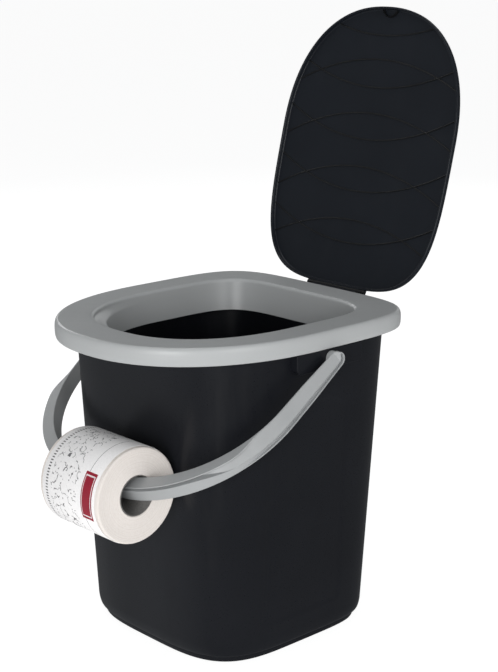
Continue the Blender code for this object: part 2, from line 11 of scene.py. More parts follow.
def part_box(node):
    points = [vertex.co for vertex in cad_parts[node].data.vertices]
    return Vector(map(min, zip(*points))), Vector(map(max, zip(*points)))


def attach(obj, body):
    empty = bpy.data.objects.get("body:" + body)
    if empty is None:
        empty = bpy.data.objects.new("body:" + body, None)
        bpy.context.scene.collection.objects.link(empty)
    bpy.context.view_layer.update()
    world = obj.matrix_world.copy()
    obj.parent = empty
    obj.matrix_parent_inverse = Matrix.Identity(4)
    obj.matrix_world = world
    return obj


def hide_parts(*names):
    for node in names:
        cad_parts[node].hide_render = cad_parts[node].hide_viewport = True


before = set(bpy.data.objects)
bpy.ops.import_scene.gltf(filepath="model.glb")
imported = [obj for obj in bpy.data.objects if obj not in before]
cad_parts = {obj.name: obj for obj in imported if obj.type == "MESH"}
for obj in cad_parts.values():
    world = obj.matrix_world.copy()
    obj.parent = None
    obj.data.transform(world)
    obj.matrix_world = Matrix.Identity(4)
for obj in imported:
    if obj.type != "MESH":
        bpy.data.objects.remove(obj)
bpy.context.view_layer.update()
SCENE = bpy.context.scene

# ---------------------------------------------------------------- sizes, those of the frame and finer ones
# A reach is (half width, front, back), and powers are (front, back), of a superellipse.
BASE_HALF = (0.1320, 0.1250)
TOP_HALF = (0.1481, 0.1409)
FOOT_HALF = (0.1253, 0.1180)
FOOT_HEIGHT = 0.008
BASE_HEIGHT = 0.016
BUCKET_WALL = 0.0025
BUCKET_POWERS = (3.7, 5.4)
RIM_OVERHANG = 0.0005
RIM_HEIGHT = 0.004

PANEL_Y = (-0.063, 0.056)
PANEL_BOTTOM = 0.040
PANEL_TOP = 0.274
PANEL_ARCH = 0.018
PANEL_DEPTH = 0.0010
PANEL_EDGE = 0.0022

SEAT_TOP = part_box("seat")[1].z
SEAT_EDGE = 0.020
SEAT_BOTTOM = SEAT_TOP - SEAT_EDGE
RIM_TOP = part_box("bucket")[1].z
SEAT_CENTRE_Y = -0.0012
SEAT_REACH = (0.1592, 0.1975, 0.1679)
SEAT_POWERS = (2.2, 5.1)
SEAT_WALL = 0.0025
OPENING_REACH = (0.1175, 0.1498, 0.1242)
OPENING_POWERS = (2.4, 5.0)
FUNNEL_DEPTH = 0.037
FUNNEL_DRAFT = 0.005
FUNNEL_FRONT_SLOPE = 0.024
FUNNEL_KNEE = 0.014
KNEE_SLOPE = FUNNEL_FRONT_SLOPE * 0.8
KNEE_DRAFT = 0.2
OPENING_EDGE = 0.0045
FLAT_INSET = 0.0065
EDGE_BULGES = (0.0020, 0.0050)
EDGE_SQUARENESS = 0.75

EAR_HALF = 0.050
EAR_HEIGHT = 0.0215
EAR_CORNER = 0.008
EAR_FACE_X = SEAT_REACH[0] - 0.0015

HINGE_Y = 0.1725
HINGE_Z = 0.3620
LID_OPEN = math.radians(104)
LID_REACH = (0.1386, 0.1555, 0.1834)
LID_POWERS = (2.27, 3.9)
LID_BACK_Y = -0.0079
LID_CENTRE_Y = LID_BACK_Y - LID_REACH[2]
LID_LIP = 0.0083
LID_HEIGHT = 0.008
LID_WALL = 0.0025
LID_EDGE = 0.004
LID_FILLET = 0.0016
LID_TURN = Matrix.Translation((0, HINGE_Y, HINGE_Z)) @ Matrix.Rotation(-LID_OPEN, 4, "X")

RIB_STEPS = np.linspace(-0.140, 0.140, 141)
RIB_SPAN = 0.125
RIB_BOW = 0.030
RIB_HALF = 0.0010
RIB_HEIGHT = 0.0012
RECESS_HALF = 0.0008
RECESS_HEIGHT = 0.0040

KNUCKLE_RADIUS = 0.0045
LUG_HALF = 0.0357
HINGE_BAR_HALF = 0.0470
BRACKET_HALF = 0.050
BRACKET_INNER = 0.036
BRACKET_EDGE = 0.0004
PLATE_THICKNESS = 0.0025
HOOK_REACH = 0.0080

PIVOT_Y = 0.0120
PIVOT_Z = 0.3400
HANDLE_ANGLE = math.radians(33)
ARM_X = 0.1649
CORNER_RADIUS = 0.138
GRIP_REACH = 0.22867
BAND_HALF = 0.010
END_HALF = 0.0084
END_TAPER = 0.050
WEB = 0.003
ARM_RIM = 0.0016
ARM_GROOVE = 0.0036
GROOVE_FADE = 0.002
PLATEAU_EDGE = -0.0028
PLATEAU_CHAMFER = 0.0006
PLATEAU_RISE = 0.0085
PLATEAU_RUN = 0.0052
FLANGE_RUN = 0.005
STRAP_EDGE = 0.0016
THIN_FLANGE = 0.0014
SLOT_EDGE = 0.0038
HANDLE_EDGE = 0.0006
ARM_DEPTH = 0.0062
GRIP_DEPTH = 0.0156
WEB_SINKS = (0.122, 0.160)
FILL_RISES = (0.158, 0.200)
COLLAR_RADIUS = 0.0078
PEG_RADIUS = 0.005
PEG_LENGTH = 0.007

ROLL_AXIS = Vector([(low + high) / 2 for low, high in zip(*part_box("paper_roll"))])
ROLL_RADIUS = 0.0525
ROLL_HALF = 0.050
CORE_OUTER = 0.0222
CORE_INNER = 0.0212
SLEEVE_HALF = 0.045
ROLL_EDGE = 0.0022
ROLL_DISH = 0.0006

RING_POINTS = 320

# the side that the room's light comes from, how far it spreads, and its least and most
WORLD_BRIGHT_SIDE = (-0.60, -0.55, -0.60)
WORLD_SPREAD = (0.65, 1.0)
WORLD_LEVELS = (0.15, 0.36)
WORLD_COLOUR = (0.94, 0.97, 1.0, 1)
WHITE = (1, 1, 1, 1)


# ---------------------------------------------------------------- mesh helpers
def outline(reach, powers, centre_y=0.0, points=RING_POINTS):
    """An even row of points round a superellipse whose front and back halves differ."""
    half_width, front, back = reach
    turn = np.linspace(0, 2 * math.pi, 6001)[:-1] + 0.0005
    is_back = np.sin(turn) > 0
    power = np.where(is_back, powers[1], powers[0])
    depth = np.where(is_back, back, front)
    x = half_width * np.sign(np.cos(turn)) * np.abs(np.cos(turn)) ** (2 / power)
    y = depth * np.sign(np.sin(turn)) * np.abs(np.sin(turn)) ** (2 / power) + centre_y
    line = np.column_stack((x, y))
    closed = np.vstack((line, line[:1]))
    steps = np.hypot(*np.diff(closed, axis=0).T)
    along = np.concatenate(([0], np.cumsum(steps)))
    wanted = np.linspace(0, along[-1], points + 1)[:-1]
    return np.column_stack((np.interp(wanted, along, closed[:, 0]),
                            np.interp(wanted, along, closed[:, 1])))


def shrink(reach, inset):
    return tuple(value - inset for value in reach)


def at_height(line, z):
    return np.column_stack((line, np.full(len(line), z)))


def mesh_object(name, vertices, faces, material, angle=40):
    mesh = bpy.data.meshes.new(name)
    mesh.from_pydata([tuple(map(float, v)) for v in vertices], [], faces)
    mesh.materials.append(material)
    item = bpy.data.objects.new(name, mesh)
    SCENE.collection.objects.link(item)
    bm = bmesh.new()
    bm.from_mesh(mesh)
    bmesh.ops.recalc_face_normals(bm, faces=bm.faces)
    bm.to_mesh(mesh)
    bm.free()
    mesh.shade_smooth()
    mesh.set_sharp_from_angle(angle=math.radians(angle))
    return item


def loft(name, rings, material, closed=False, angle=40):
    """A skin through a row of equally long rings, capped at both ends unless it closes on itself."""
    count = len(rings[0])
    vertices = np.vstack(rings)
    faces = []
    rows = len(rings)
    for row in range(rows if closed else rows - 1):
        here, there = row * count, ((row + 1) % rows) * count
        for k in range(count):
            after = (k + 1) % count
            faces.append((here + k, here + after, there + after, there + k))
    if not closed:
        faces.append(tuple(range(count - 1, -1, -1)))
        faces.append(tuple((rows - 1) * count + k for k in range(count)))
    return mesh_object(name, vertices, faces, material, angle=angle)


def prism(name, points, start_x, end_x, material, edge, segments=3):
    """An outline of (y, z) points carried along x, with a small bevel."""
    count = len(points)
    vertices = [(x, y, z) for x in (start_x, end_x) for y, z in points]
    faces = [tuple(range(count)), tuple(range(2 * count - 1, count - 1, -1))]
    faces += [(k, (k + 1) % count, (k + 1) % count + count, k + count) for k in range(count)]
    item = mesh_object(name, vertices, faces, material)
    bevel(item, edge, segments)
    return item


def bevel(item, width, segments=3):
    modifier = item.modifiers.new("edge", "BEVEL")
    modifier.width = width
    modifier.segments = segments
    modifier.limit_method = "ANGLE"
    modifier.angle_limit = math.radians(30)
    modifier.harden_normals = True


def from_bmesh(name, bm, material):
    """An object with a smooth mesh made from a bmesh, which is freed."""
    mesh = bpy.data.meshes.new(name)
    bm.to_mesh(mesh)
    bm.free()
    mesh.materials.append(material)
    mesh.shade_smooth()
    item = bpy.data.objects.new(name, mesh)
    SCENE.collection.objects.link(item)
    return item


def stand_for(piece, node, body=None):
    """Put a detailed piece in place of a CAD node, on its body."""
    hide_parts(node)
    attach(piece, body or node)


def tag(side):
    return "right" if side > 0 else "left"


def box_piece(name, low, high, material, edge):
    bm = bmesh.new()
    bmesh.ops.create_cube(bm, size=1.0)
    for vertex in bm.verts:
        vertex.co = Vector([low[i] if vertex.co[i] < 0 else high[i] for i in range(3)])
    item = from_bmesh(name, bm, material)
    bevel(item, edge)
    return item


def rod_piece(name, radius, start_x, end_x, y, z, material):
    """A round rod along x, with a small bevel at its ends."""
    bm = bmesh.new()
    bmesh.ops.create_cone(bm, cap_ends=True, segments=64, radius1=radius, radius2=radius,
                          depth=end_x - start_x)
    turn = Matrix.Translation(((start_x + end_x) / 2, y, z)) @ Matrix.Rotation(math.pi / 2, 4, "Y")
    bmesh.ops.transform(bm, matrix=turn, verts=bm.verts)
    item = from_bmesh(name, bm, material)
    bevel(item, 0.0006)
    return item


def arc_profile(centre, radius, start, end, steps):
    """Points along an arc between two angles in degrees."""
    turns = [math.radians(start + (end - start) * k / steps) for k in range(steps + 1)]
    return [(centre[0] + radius * math.cos(t), centre[1] + radius * math.sin(t)) for t in turns]


# ---------------------------------------------------------------- materials
class Shader:
    """A material with its nodes, made one call at a time."""

    def __init__(self, name):
        self.material = bpy.data.materials.new(name)
        self.material.use_nodes = True
        self.tree = self.material.node_tree
        self.bsdf = self.tree.nodes["Principled BSDF"]

    def add(self, kind, values=None, **settings):
        node = self.tree.nodes.new("ShaderNode" + kind)
        for key, value in settings.items():
            setattr(node, key, value)
        for key, value in (values or {}).items():
            if isinstance(value, bpy.types.NodeSocket):
                self.tree.links.new(value, node.inputs[key])
            else:
                node.inputs[key].default_value = value
        return node

    def math(self, operation, a, b):
        return self.add("Math", {0: a, 1: b}, operation=operation).outputs[0]

    def spread(self, value, low, high, to_low, to_high, smooth=False):
        node = self.add("MapRange", {0: value, 1: low, 2: high, 3: to_low, 4: to_high})
        node.clamp = True
        if smooth:
            node.interpolation_type = "SMOOTHSTEP"
        return node.outputs[0]

    def noise(self, scale, detail=2.0, rough=0.5, vector=None):
        if vector is None:
            vector = self.position()
        node = self.add("TexNoise", {"Vector": vector, "Scale": scale, "Detail": detail,
                                     "Roughness": rough})
        return node.outputs[0]

    def position(self):
        return self.add("TexCoord").outputs["Object"]

    def blend(self, factor, first, second):
        node = self.add("Mix", data_type="RGBA")
        for key, value in ((0, factor), (6, first), (7, second)):
            if isinstance(value, bpy.types.NodeSocket):
                self.tree.links.new(value, node.inputs[key])
            else:
                node.inputs[key].default_value = value
        return node.outputs[2]

    def band(self, value, low, high, edge):
        """1 from low to high, fading to 0 over an edge at each end."""
        return self.math("MULTIPLY", self.spread(value, low, low + edge, 0.0, 1.0),
                         self.spread(value, high, high + edge, 1.0, 0.0))

    def bump(self, height, strength, distance, normal=None):
        values = {"Height": height, "Strength": strength, "Distance": distance}
        if normal is not None:
            values["Normal"] = normal
        return self.add("Bump", values).outputs[0]

    def drive(self, socket, value):
        self.tree.links.new(value, self.bsdf.inputs[socket])


def tint(colour, factor):
    return (*(min(1.0, channel * factor) for channel in colour), 1.0)


def moulded(name, colour, roughness, specular, grain, mottle, scuff):
    """Injection-moulded plastic: faint mottling, a fine grain, and lightly rubbed patches."""
    shader = Shader(name)
    shader.bsdf.inputs["Specular IOR Level"].default_value = specular
    cloud = shader.noise(9.0, 3.0)
    fine = shader.noise(900.0, 2.0)
    streaks = shader.add("Mapping", {"Vector": shader.position(), "Scale": (1.0, 1.0, 0.12)})
    flow = shader.noise(42.0, 3.0, 0.6, streaks.outputs[0])
    shade = shader.spread(cloud, 0.30, 0.70, 0.0, 1.0)
    base = shader.blend(shade, tint(colour, 1 - mottle), tint(colour, 1 + mottle))
    speck = shader.spread(fine, 0.35, 0.65, 0.0, 0.25)
    base = shader.blend(speck, base, tint(colour, 1 + 2.5 * mottle))
    shader.drive("Base Color", base)
    rub = shader.spread(flow, 0.52, 0.72, 0.0, scuff, smooth=True)
    rough = shader.math("ADD", shader.spread(fine, 0.3, 0.7, roughness - 0.03, roughness + 0.04), rub)
    shader.drive("Roughness", rough)
    normal = shader.bump(fine, grain, 0.0004)
    wave = shader.bump(shader.noise(14.0, 1.0), 0.10, 0.0012, normal)
    shader.drive("Normal", wave)
    return shader.material


def tissue_paper():
    """Wound tissue: thin irregular rings on the end faces, fibres and soft dents."""
    shader = Shader("tissue_paper")
    shader.bsdf.inputs["Specular IOR Level"].default_value = 0.15
    shader.bsdf.inputs["Sheen Weight"].default_value = 0.25
    place = shader.position()
    parts = shader.add("SeparateXYZ", {0: place})
    flat = shader.add("CombineXYZ", {0: 0.0, 1: parts.outputs[1], 2: parts.outputs[2]})
    radius = shader.add("VectorMath", {0: flat.outputs[0]}, operation="LENGTH").outputs["Value"]
    wobble = shader.noise(24.0, 2.0)
    ring_place = shader.math("ADD", radius, shader.math("MULTIPLY", wobble, 0.0016))
    rings = shader.add("TexNoise", {"W": ring_place, "Scale": 1500.0, "Detail": 3.0},
                       noise_dimensions="1D").outputs[0]
    fibre = shader.noise(420.0, 4.0, 0.65)
    shade = shader.spread(rings, 0.35, 0.65, 0.0, 1.0)
    base = shader.blend(shade, (0.66, 0.61, 0.57, 1), (0.76, 0.71, 0.67, 1))
    base = shader.blend(shader.spread(fibre, 0.4, 0.7, 0.0, 0.4), base, (0.80, 0.77, 0.74, 1))
    shader.drive("Base Color", base)
    shader.drive("Roughness", shader.spread(fibre, 0.3, 0.7, 0.86, 0.98))
    normal = shader.bump(rings, 0.35, 0.0006)
    normal = shader.bump(fibre, 0.25, 0.0005, normal)
    shader.drive("Normal", shader.bump(shader.noise(40.0, 2.0), 0.25, 0.0020, normal))
    return shader.material


def core_card():
    """Grey card wound in a slant, with a faint spiral seam, its greys darkened as painted shade for the
    inside of the core.
    """
    shader = Shader("core_card")
    shader.bsdf.inputs["Specular IOR Level"].default_value = 0.2
    place = shader.position()
    parts = shader.add("SeparateXYZ", {0: place})
    turn = shader.math("ARCTAN2", parts.outputs[2], parts.outputs[1])
    slant = shader.math("ADD", shader.math("MULTIPLY", turn, 1 / (2 * math.pi)),
                        shader.math("MULTIPLY", parts.outputs[0], 14.0))
    seam = shader.math("PINGPONG", slant, 0.5)
    fibre = shader.noise(500.0, 4.0, 0.7)
    # painted shade: the card's two greys and its seam are kept dark to stand in for the shade inside the
    # core
    base = shader.blend(shader.spread(fibre, 0.35, 0.65, 0.0, 1.0), (0.13, 0.125, 0.12, 1),
                        (0.18, 0.175, 0.17, 1))
    base = shader.blend(shader.spread(seam, 0.0, 0.03, 1.0, 0.0), base, (0.14, 0.13, 0.12, 1))
    shader.drive("Base Color", base)
    shader.drive("Roughness", shader.spread(fibre, 0.3, 0.7, 0.75, 0.95))
    shader.drive("Normal", shader.bump(fibre, 0.3, 0.0004))
    return shader.material


def printed_sleeve():
    """White paper sleeve with generic printed doodles, a row of dashes and a thin line."""
    shader = Shader("printed_sleeve")
    shader.bsdf.inputs["Specular IOR Level"].default_value = 0.3
    place = shader.position()
    parts = shader.add("SeparateXYZ", {0: place})
    along = parts.outputs[0]
    turn = shader.math("ARCTAN2", parts.outputs[2], shader.math("MULTIPLY", parts.outputs[1], -1.0))
    around = shader.math("MULTIPLY", turn, ROLL_RADIUS)
    sheet = shader.add("CombineXYZ", {0: along, 1: around, 2: 0.0}).outputs[0]
    bend = shader.add("TexNoise", {"Vector": sheet, "Scale": 160.0, "Detail": 1.0}).outputs[1]
    bent = shader.add("VectorMath", {0: shader.add("VectorMath", {0: bend, 1: (0.5, 0.5, 0.5)},
                                                   operation="SUBTRACT").outputs[0], 3: 0.010},
                      operation="SCALE").outputs[0]
    sheet_bent = shader.add("VectorMath", {0: sheet, 1: bent}, operation="ADD").outputs[0]
    edges = shader.add("TexVoronoi", {"Vector": sheet_bent, "Scale": 95.0}, feature="DISTANCE_TO_EDGE",
                       voronoi_dimensions="2D").outputs[0]
    line = shader.spread(edges, 0.030, 0.060, 1.0, 0.0)
    gate = shader.add("TexNoise", {"Vector": sheet, "Scale": 130.0, "Detail": 1.0}).outputs[0]
    line = shader.math("MULTIPLY", line, shader.spread(gate, 0.49, 0.52, 0.0, 1.0))
    dots = shader.add("TexVoronoi", {"Vector": sheet, "Scale": 150.0, "Randomness": 1.0},
                      feature="F1", voronoi_dimensions="2D")
    pick = shader.add("SeparateColor", {0: dots.outputs["Color"]}).outputs[0]
    dot = shader.math("MULTIPLY", shader.spread(dots.outputs["Distance"], 0.10, 0.14, 1.0, 0.0),
                      shader.spread(pick, 0.60, 0.61, 0.0, 1.0))
    blots = shader.add("TexVoronoi", {"Vector": sheet_bent, "Scale": 46.0, "Randomness": 1.0},
                       feature="F1", voronoi_dimensions="2D")
    pick = shader.add("SeparateColor", {0: blots.outputs["Color"]}).outputs[1]
    blot = shader.math("MULTIPLY", shader.spread(blots.outputs["Distance"], 0.11, 0.13, 1.0, 0.0),
                       shader.spread(pick, 0.66, 0.67, 0.0, 1.0))
    art = shader.math("MAXIMUM", shader.math("MAXIMUM", line, dot), blot)
    art = shader.math("MULTIPLY", art, shader.band(along, -0.0315, 0.0130, 0.0010))
    beat = shader.math("PINGPONG", shader.math("MULTIPLY", around, 300.0), 0.5)
    dash = shader.math("MULTIPLY", shader.spread(beat, 0.20, 0.24, 1.0, 0.0),
                       shader.band(along, -0.0392, -0.0354, 0.0003))
    rule = shader.band(along, 0.0264, 0.0270, 0.0002)
    ink = shader.math("MAXIMUM", shader.math("MAXIMUM", art, dash), rule)
    ink = shader.math("MULTIPLY", ink, 0.85)
    fibre = shader.noise(500.0, 3.0, 0.6)
    white = shader.blend(shader.spread(fibre, 0.35, 0.65, 0.0, 1.0), (0.83, 0.82, 0.82, 1),
                         (0.89, 0.88, 0.88, 1))
    shader.drive("Base Color", shader.blend(ink, white, (0.03, 0.03, 0.035, 1)))
    shader.drive("Roughness", shader.spread(fibre, 0.3, 0.7, 0.55, 0.70))
    wrinkle = shader.noise(60.0, 3.0, 0.6)
    normal = shader.bump(wrinkle, 0.30, 0.0012)
    shader.drive("Normal", shader.bump(fibre, 0.08, 0.0003, normal))
    return shader.material


def printed_label(name, low, high):
    """Glossy printing ink with slight unevenness."""
    shader = Shader(name)
    shader.bsdf.inputs["Specular IOR Level"].default_value = 0.35
    cloud = shader.noise(80.0, 3.0)
    base = shader.blend(shader.spread(cloud, 0.3, 0.7, 0.0, 1.0), (*low, 1), (*high, 1))
    shader.drive("Base Color", base)
    shader.drive("Roughness", shader.spread(cloud, 0.3, 0.7, 0.42, 0.56))
    shader.drive("Normal", shader.bump(shader.noise(500.0, 2.0), 0.06, 0.0003))
    return shader.material


def steel():
    """Steel rod with fine lines along it."""
    shader = Shader("pin_steel")
    shader.bsdf.inputs["Metallic"].default_value = 1.0
    brush = shader.add("Mapping", {"Vector": shader.position(), "Scale": (8.0, 900.0, 900.0)})
    lines = shader.noise(1.0, 3.0, 0.6, brush.outputs[0])
    shader.drive("Base Color", shader.blend(lines, (0.48, 0.48, 0.49, 1), (0.62, 0.62, 0.63, 1)))
    shader.drive("Roughness", shader.spread(lines, 0.3, 0.7, 0.25, 0.40))
    return shader.material


# colour, roughness, specular, grain, mottle, scuff
# the bucket's colour is near-black plastic with a slight blue, and the blue is a painted sheen for the
# bluish reflection on its front
BUCKET_PLASTIC_AND_SHEEN_MATERIAL = moulded("bucket_plastic_and_sheen", (0.0080, 0.0088, 0.0116), 0.30, 0.32, 0.04, 0.12, 0.08)
SEAT_MATERIAL = moulded("seat_plastic", (0.400, 0.412, 0.415), 0.36, 0.45, 0.05, 0.03, 0.08)
LID_MATERIAL = moulded("lid_plastic", (0.0080, 0.0100, 0.0140), 0.38, 0.30, 0.05, 0.12, 0.08)
HANDLE_MATERIAL = moulded("handle_plastic", (0.335, 0.345, 0.350), 0.40, 0.45, 0.06, 0.04, 0.10)
# the bracket's near-black plastic, which also colours the lid's ribs, where it is a painted shade
BRACKET_AND_RIB_SHADE_MATERIAL = moulded("bracket_plastic", (0.0060, 0.0062, 0.0068), 0.42, 0.30, 0.05, 0.10, 0.05)
PAPER_MATERIAL = tissue_paper()
CARD_PAINTED_SHADE_MATERIAL = core_card()
SLEEVE_MATERIAL = printed_sleeve()
LABEL_MATERIAL = printed_label("label_red", (0.27, 0.010, 0.028), (0.34, 0.016, 0.036))
BORDER_MATERIAL = printed_label("label_white", (0.72, 0.66, 0.67), (0.80, 0.74, 0.75))
STEEL_MATERIAL = steel()


# ---------------------------------------------------------------- bucket
def bucket_reach(z, inset=0.0):
    share = (z - BASE_HEIGHT) / (SEAT_BOTTOM - BASE_HEIGHT)
    width, depth = (low + (high - low) * share for low, high in zip(BASE_HALF, TOP_HALF))
    return width - inset, depth - inset, depth - inset


def bucket_ring(reach, z):
    return at_height(outline(reach, BUCKET_POWERS), z)


def side_panel(ring):
    """A faint sunken panel on each side wall, arched at its top."""
    x, y, z = ring.T
    low_y, high_y = PANEL_Y
    across = np.clip((y - (low_y + high_y) / 2) / ((high_y - low_y) / 2), -1, 1)
    edge_top = PANEL_TOP + PANEL_ARCH * np.sqrt(np.clip(1 - across ** 2, 0, 1))
    inside = 1.0
    for space in (y - low_y, high_y - y, edge_top - z, z - PANEL_BOTTOM):
        inside = inside * np.clip(space / PANEL_EDGE, 0, 1)
    ring[:, 0] = x - np.sign(x) * PANEL_DEPTH * inside
    return ring


def make_bucket():
    """The shell: up the outside from the foot, over the rim, and down the inside to the floor."""
    step_in = BASE_HALF[0] - FOOT_HALF[0]
    foot = (FOOT_HALF[0], FOOT_HALF[1], FOOT_HALF[1])
    rings = [bucket_ring(shrink(foot, inset), z) for inset, z in
             ((0.0022, 0.0), (0.0010, 0.0002), (0.0003, 0.0007), (0.0, 0.0014),
              (0.0, FOOT_HEIGHT - 0.0008), (0.0002, FOOT_HEIGHT - 0.0002))]
    for k in range(0, 11):
        turn = math.radians(90 * k / 10)
        inset = step_in * 0.62 * (1 - math.sin(turn))
        z = FOOT_HEIGHT + (BASE_HEIGHT + 0.006 - FOOT_HEIGHT) * (1 - math.cos(turn))
        rings.append(bucket_ring(bucket_reach(max(z, BASE_HEIGHT), inset), z))
    low, high = BASE_HEIGHT + 0.008, RIM_TOP - RIM_HEIGHT
    steps = 130
    for k in range(steps + 1):
        z = low + (high - low) * k / steps
        rings.append(side_panel(bucket_ring(bucket_reach(z), z)))
    for inset, z in ((-RIM_OVERHANG, high + 0.0006), (-RIM_OVERHANG, RIM_TOP - 0.0012),
                     (-RIM_OVERHANG + 0.0003, RIM_TOP - 0.0004), (0.0006, RIM_TOP),
                     (BUCKET_WALL - 0.0006, RIM_TOP), (BUCKET_WALL, RIM_TOP - 0.0006)):
        rings.append(bucket_ring(bucket_reach(RIM_TOP, inset), z))
    for z in np.linspace(RIM_TOP - 0.004, 0.026, 14):
        rings.append(bucket_ring(bucket_reach(z, BUCKET_WALL), z))
    inner_foot = shrink(foot, BUCKET_WALL)
    for inset, z in ((0.0, 0.0080), (0.0012, 0.0045), (0.0040, 0.0032), (0.0070, 0.0030)):
        rings.append(bucket_ring(shrink(inner_foot, inset), z))
    stand_for(loft("bucket_shell", rings, BUCKET_PLASTIC_AND_SHEEN_MATERIAL, angle=50), "bucket")
    for side in (-1, 1):
        stand_for(make_ear(side), "bucket")


def make_ear(side):
    """The block that holds one handle peg, rounded at its lower corners."""
    top = SEAT_BOTTOM - 0.0005
    bottom = top - EAR_HEIGHT
    low_y, high_y = PIVOT_Y - EAR_HALF, PIVOT_Y + EAR_HALF
    points = [(high_y, top), (low_y, top)]
    points += arc_profile((low_y + EAR_CORNER, bottom + EAR_CORNER), EAR_CORNER, 180, 270, 10)
    points += arc_profile((high_y - EAR_CORNER, bottom + EAR_CORNER), EAR_CORNER, 270, 360, 10)
    root_x = bucket_reach(bottom)[0] - 0.0015
    return prism(f"bucket_ear_{tag(side)}", points, side * root_x, side * EAR_FACE_X, BUCKET_PLASTIC_AND_SHEEN_MATERIAL,
                 0.0010)


# ---------------------------------------------------------------- seat
def seat_ring(inset, z):
    return at_height(outline(shrink(SEAT_REACH, inset), SEAT_POWERS, SEAT_CENTRE_Y), z)


def opening_ring(outset, z, slope=0.0):
    half_width, front, back = OPENING_REACH
    reach = (half_width + outset, front + outset - slope, back + outset)
    return at_height(outline(reach, OPENING_POWERS, SEAT_CENTRE_Y), z)


def edge_turns(start, stop, step):
    """Angles up the seat's edge from its foot to its top, each with the bulge of its half."""
    for k in range(start, stop, step):
        turn = math.radians(90 * k / 16)
        yield turn, EDGE_BULGES[turn > 0]


def make_seat():
    """The skin: up the edge, across the flat top, down the funnel, and back along the inside."""
    middle = SEAT_TOP - SEAT_EDGE / 2
    rings = []
    for turn, bulge in edge_turns(-16, 17, 1):
        across = max(math.cos(turn), 0) ** EDGE_SQUARENESS
        up = math.copysign(abs(math.sin(turn)) ** EDGE_SQUARENESS, turn)
        rings.append(seat_ring(bulge * (1 - across), middle + SEAT_EDGE / 2 * up))
    outer, inner = seat_ring(FLAT_INSET, SEAT_TOP), opening_ring(0.0055, SEAT_TOP)
    rings += [outer * (1 - share) + inner * share for share in (0, 0.25, 0.5, 0.75)]
    for k in range(0, 9):
        turn = math.radians(90 * k / 8)
        rings.append(opening_ring(OPENING_EDGE * (1 - math.sin(turn)),
                                  SEAT_TOP - OPENING_EDGE * (1 - math.cos(turn))))
    for share in np.linspace(0, 1, 9)[1:]:
        ease = share * share * (3 - 2 * share)
        depth = OPENING_EDGE + (FUNNEL_KNEE - OPENING_EDGE) * share
        rings.append(opening_ring(-FUNNEL_DRAFT * KNEE_DRAFT * share, SEAT_TOP - depth, KNEE_SLOPE * ease))
    foot_slope = FUNNEL_FRONT_SLOPE - FUNNEL_DRAFT
    for share in np.linspace(0, 1, 6)[1:]:
        slope = KNEE_SLOPE * (1 - share) + foot_slope * share
        outset = -FUNNEL_DRAFT * (KNEE_DRAFT + (1 - KNEE_DRAFT) * share)
        depth = FUNNEL_KNEE + (FUNNEL_DEPTH - FUNNEL_KNEE) * share
        rings.append(opening_ring(outset, SEAT_TOP - depth, slope))
    rings.append(opening_ring(SEAT_WALL - FUNNEL_DRAFT, SEAT_TOP - FUNNEL_DEPTH, foot_slope))
    rings.append(opening_ring(SEAT_WALL, SEAT_TOP - 0.016, KNEE_SLOPE))
    rings.append(opening_ring(SEAT_WALL, SEAT_TOP - 0.008, FUNNEL_FRONT_SLOPE * 0.25))
    under = SEAT_TOP - SEAT_WALL
    rings.append(opening_ring(SEAT_WALL + 0.003, under))
    rings.append(seat_ring(0.0090, under))
    for turn, bulge in edge_turns(12, -17, -2):
        z = middle + SEAT_EDGE / 2 * math.sin(turn)
        if z < under - 0.0005:
            rings.append(seat_ring(bulge * (1 - math.cos(turn)) + SEAT_WALL, z))
    stand_for(loft("seat_skin", rings, SEAT_MATERIAL, closed=True, angle=60), "seat")
    stand_for(make_rest_rib(), "seat")


def make_rest_rib():
    """The rib under the seat that stands on the bucket's rim and reaches down inside it."""
    rest = RIM_TOP + 0.0003
    outer, lip_outer, inner = -RIM_OVERHANG, 0.0033, 0.0058
    bottom = rest - 0.009
    profile = ((outer, rest), (outer, rest + 0.006), (inner, rest + 0.006), (inner, bottom + 0.0006),
               (inner - 0.0006, bottom), (lip_outer + 0.0006, bottom), (lip_outer, bottom + 0.0006),
               (lip_outer, rest))
    rings = [bucket_ring(bucket_reach(RIM_TOP, inset), z) for inset, z in profile]
    return loft("seat_rest_rib", rings, SEAT_MATERIAL, closed=True)


# ---------------------------------------------------------------- lid
def lid_outline(inset, points=RING_POINTS):
    return outline(shrink(LID_REACH, inset), LID_POWERS, LID_CENTRE_Y, points)


def add_to_lid(item, turned_open=True):
    if turned_open:
        item.data.transform(LID_TURN)
    stand_for(item, "lid")


def make_lid():
    """The lid, built closed about its hinge axis and then turned open."""
    lip = LID_LIP
    top = lip + LID_HEIGHT
    profile = [(LID_WALL + LID_FILLET, top - LID_WALL)]
    profile += [(LID_WALL + LID_FILLET * (1 - math.sin(t)), top - LID_WALL - LID_FILLET * (1 - math.cos(t)))
                for t in np.radians(np.linspace(15, 90, 5))]
    profile += [(LID_WALL, lip + 0.0007), (LID_WALL - 0.0003, lip + 0.0002), (LID_WALL - 0.0008, lip),
                (0.0008, lip), (0.0003, lip + 0.0002), (0.0, lip + 0.0007)]
    profile += [(LID_EDGE * (1 - math.cos(t)), top - LID_EDGE * (1 - math.sin(t)))
                for t in np.radians(np.linspace(0, 90, 10))]
    rings = [at_height(lid_outline(inset), z) for inset, z in profile]
    add_to_lid(loft("lid_shell", rings, LID_MATERIAL, angle=50))
    add_to_lid(make_lid_ribs(top - LID_WALL))
    add_to_lid(make_lid_lug(lip, top))
    add_to_lid(make_hinge_bar(lip, top))
    add_to_lid(rod_piece("lid_knuckle", KNUCKLE_RADIUS, -LUG_HALF, LUG_HALF, HINGE_Y, HINGE_Z,
                         LID_MATERIAL), turned_open=False)


